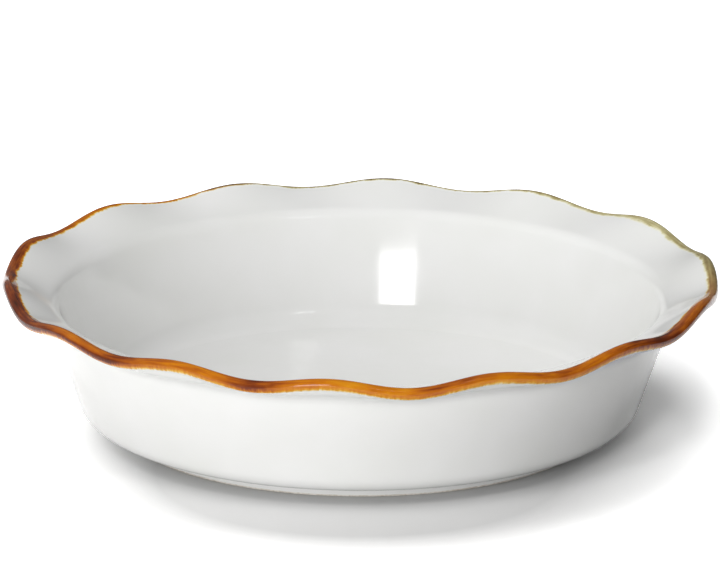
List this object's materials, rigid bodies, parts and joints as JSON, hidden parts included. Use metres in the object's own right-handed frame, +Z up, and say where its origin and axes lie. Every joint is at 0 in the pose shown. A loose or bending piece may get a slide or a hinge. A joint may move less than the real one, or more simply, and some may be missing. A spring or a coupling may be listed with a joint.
{
  "type": "pie dish",
  "caption": "Round deep pie dish of white glazed stoneware with a flared, ruffled rim, an amber glazed lip and a foot ring.",
  "frame": {"origin": "centre of the foot ring's standing plane, on the dish's axis", "axes": "+Z up out of the dish's mouth; -Y towards the picture's camera; +X to the picture's right"},
  "size_m": [0.2666, 0.2666, 0.0595],
  "materials": {
    "stoneware": "bare fired clay, matt",
    "inside_white": "glossy white glaze",
    "outside_white": "glossy white glaze",
    "base_white": "glossy white glaze",
    "amber_rim": "glossy amber to dark brown brushed glaze"
  },
  "bodies": {
    "root": {"stoneware_body": "stoneware", "inside_white_glaze": "inside_white", "outside_white_glaze": "outside_white", "base_white_glaze": "base_white", "amber_rim_glaze": "amber_rim"}
  },
  "joints": []
}
